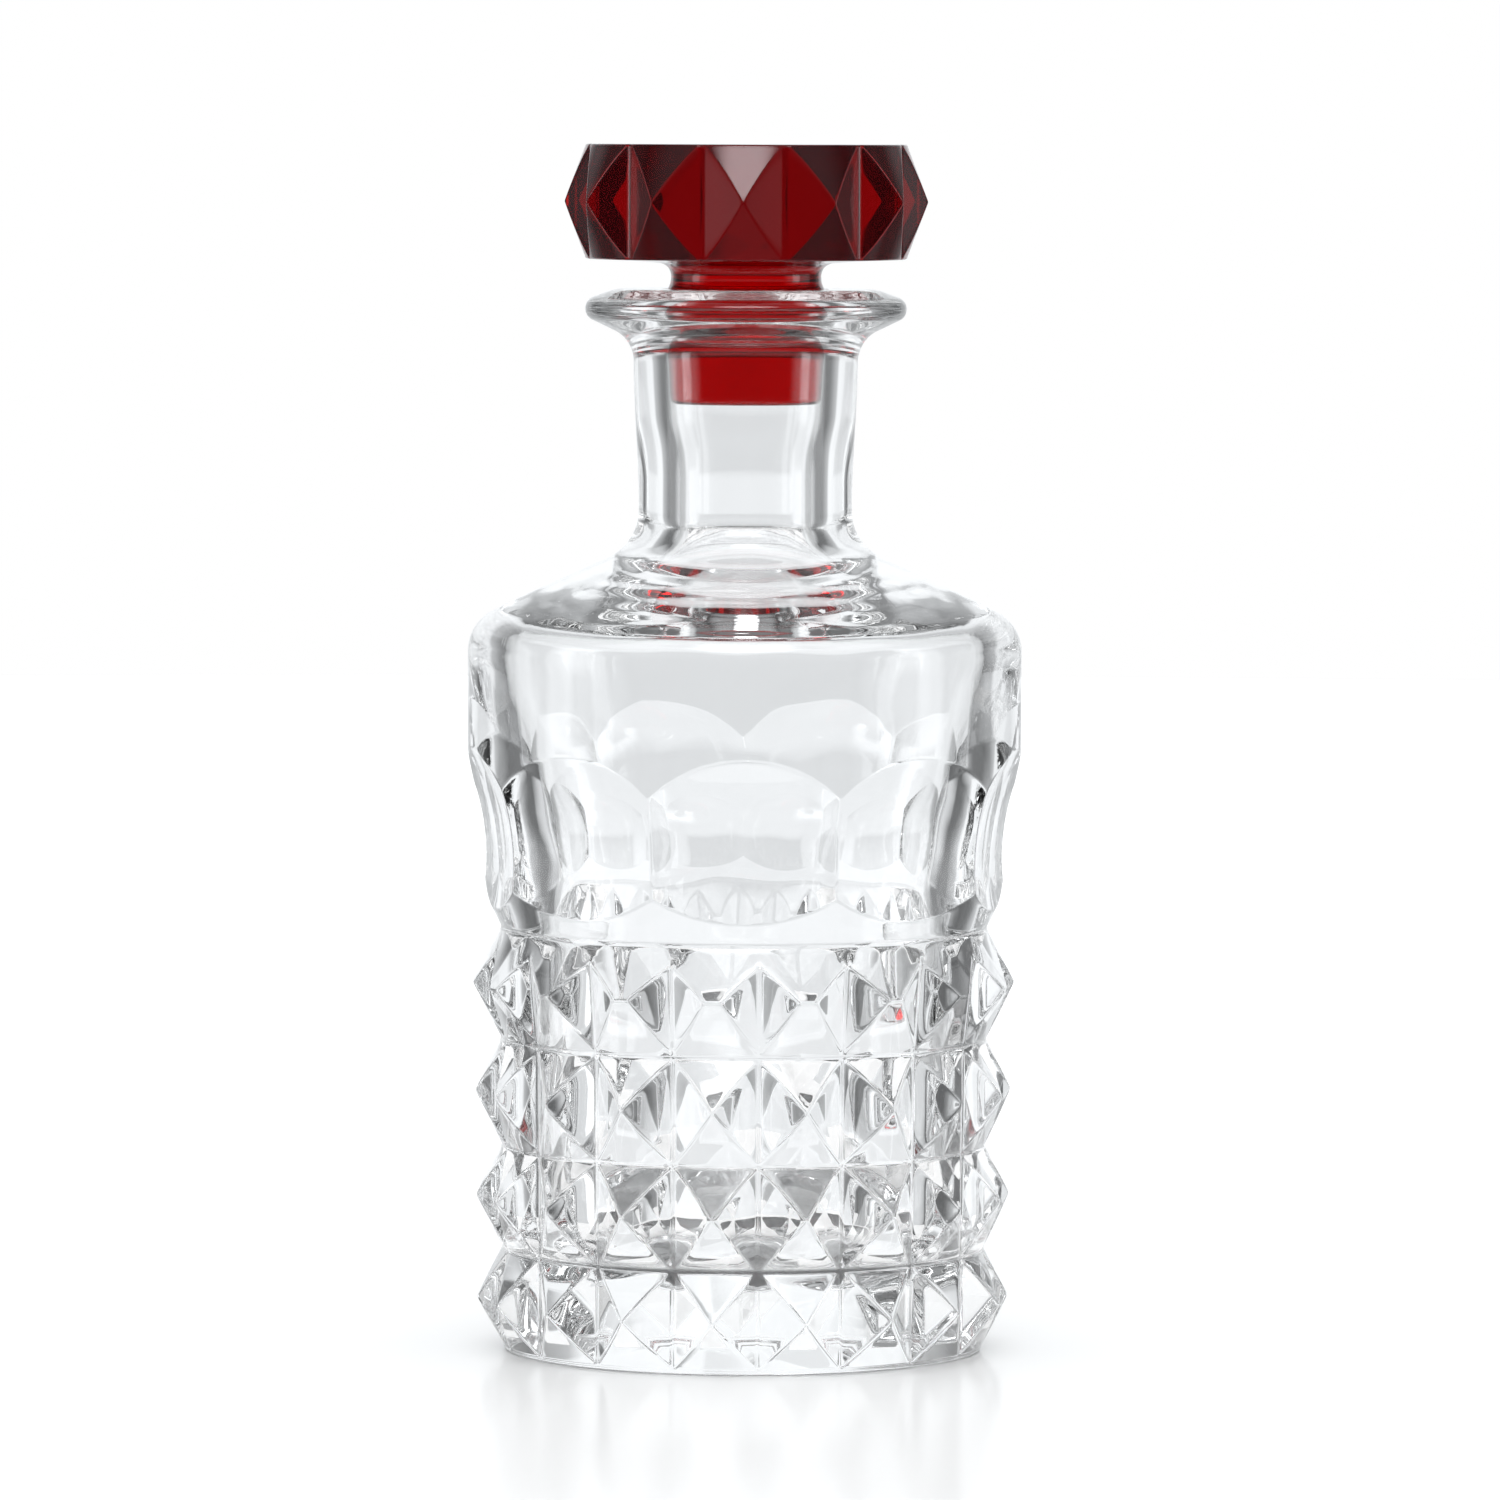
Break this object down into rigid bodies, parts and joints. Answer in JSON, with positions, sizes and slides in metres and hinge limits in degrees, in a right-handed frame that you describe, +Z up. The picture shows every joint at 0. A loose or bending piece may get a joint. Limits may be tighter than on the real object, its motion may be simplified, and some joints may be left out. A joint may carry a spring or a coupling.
{
  "type": "decanter",
  "caption": "Round cut crystal decanter with rings of cut diamonds, a fluted waist, sloping shoulder, flared lip and a faceted ruby glass stopper that lifts out.",
  "frame": {"origin": "centre of the flat ring the decanter stands on, at table height", "axes": "+Z up along the decanter's axis; -Y is the front, which the middle of one flute faces; +X is to the right seen from the front"},
  "size_m": [0.1106, 0.1106, 0.241],
  "materials": {
    "clear_crystal": "polished",
    "ruby_crystal": "polished"
  },
  "bodies": {
    "decanter": {"decanter": "clear_crystal"},
    "stopper": {"stopper": "ruby_crystal"}
  },
  "joints": [
    {"name": "stopper_lift", "type": "slide", "parent": "decanter", "child": "stopper", "axis": [0, 0, 1], "range_m": [0, 0.05]}
  ]
}
